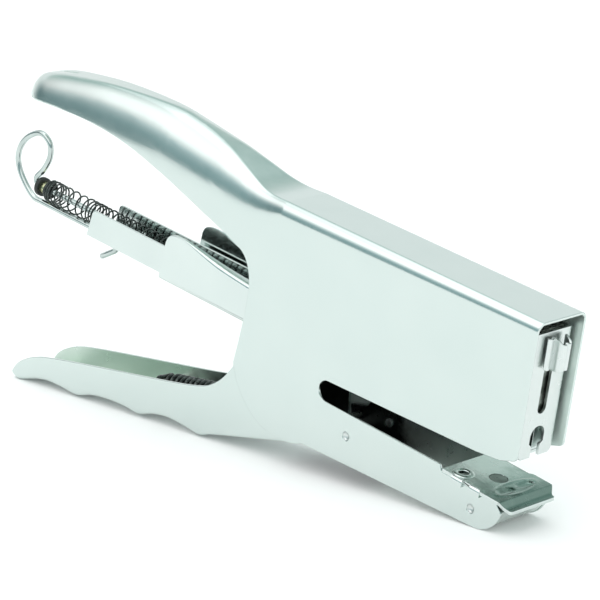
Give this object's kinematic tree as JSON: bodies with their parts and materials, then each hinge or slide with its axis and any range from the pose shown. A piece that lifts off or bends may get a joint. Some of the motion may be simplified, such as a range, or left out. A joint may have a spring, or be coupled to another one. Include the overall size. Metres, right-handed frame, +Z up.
{
  "type": "plier stapler",
  "caption": "Hand-held plier stapler with crossing chromed handles, a hinged spring-fed magazine and a flat lower jaw with an anvil.",
  "frame": {"origin": "middle of the box at table height: half-way from the pull ring to the nose, on the middle plane", "axes": "+X towards the jaw, +Y to the left side seen from behind, +Z up; it stands on the lever handle's tip and the lower jaw's nose"},
  "size_m": [0.2172, 0.0208, 0.0966],
  "materials": {
    "shell_chrome": "bright, softly polished chrome plate",
    "bright_chrome": "bright chrome plate",
    "wire_chrome": "polished plated wire",
    "anvil_steel": "satin plated steel with tool marks",
    "inner_steel": "dull, mottled inner steel",
    "spring_steel": "dark oiled spring wire",
    "black_rubber": "matt black",
    "sleeve_brass": "pale greenish brass"
  },
  "bodies": {
    "body": {"upper_shell": "shell_chrome", "anvil_channel": "inner_steel", "side_rivets": "bright_chrome", "anvil_plate": "anvil_steel", "anvil_rivet": "anvil_steel", "pivot_pin": "shell_chrome", "pivot_sleeve": "inner_steel", "front_spring_pin": "inner_steel", "magazine_spring": "spring_steel"},
    "lever": {"lower_handle": "shell_chrome", "rear_spring_pin": "inner_steel", "return_spring": "spring_steel"},
    "magazine": {"magazine_channel": "bright_chrome", "front_housing": "bright_chrome", "staple_rail": "bright_chrome", "rail_rivets": "inner_steel"},
    "driver": {"driver_carrier": "inner_steel", "driver_pin": "inner_steel", "driver_blade": "bright_chrome", "driver_knob": "bright_chrome", "knob_rivet": "bright_chrome"},
    "pull_unit": {"pull_wire": "wire_chrome", "grommet": "black_rubber", "end_sleeve": "sleeve_brass", "spring_washer": "black_rubber", "follower_spring": "spring_steel"},
    "follower": {"follower": "inner_steel"}
  },
  "joints": [
    {"name": "lever_squeeze", "type": "hinge", "parent": "body", "child": "lever", "pos_m": [0.01775, 0, 0.028], "axis": [0, 1, 0], "range_deg": [0, 13.2], "stiffness_Nm_per_rad": 2, "springref_deg": -28.65, "deforming": ["return_spring"]},
    {"name": "magazine_close", "type": "hinge", "parent": "body", "child": "magazine", "pos_m": [0.01775, 0, 0.028], "axis": [0, 1, 0], "range_deg": [0, 6.61], "deforming": ["magazine_spring"]},
    {"name": "driver_stroke", "type": "slide", "parent": "magazine", "child": "driver", "axis": [-0.1736, 0, -0.9848], "range_m": [0, 0.0099]},
    {"name": "wire_pull", "type": "slide", "parent": "magazine", "child": "pull_unit", "axis": [-0.9848, 0, 0.1736], "range_m": [0, 0.12]},
    {"name": "follower_slide", "type": "slide", "parent": "pull_unit", "child": "follower", "axis": [-0.9848, 0, 0.1736], "range_m": [0, 0.085], "stiffness_N_per_m": 10, "springref_m": -0.1, "deforming": ["follower_spring"]}
  ],
  "couplings": [
    {"joint": "magazine_close", "follows": "lever_squeeze", "ratio": 0.5},
    {"joint": "driver_stroke", "follows": "lever_squeeze", "m_per_rad": 0.04296}
  ]
}
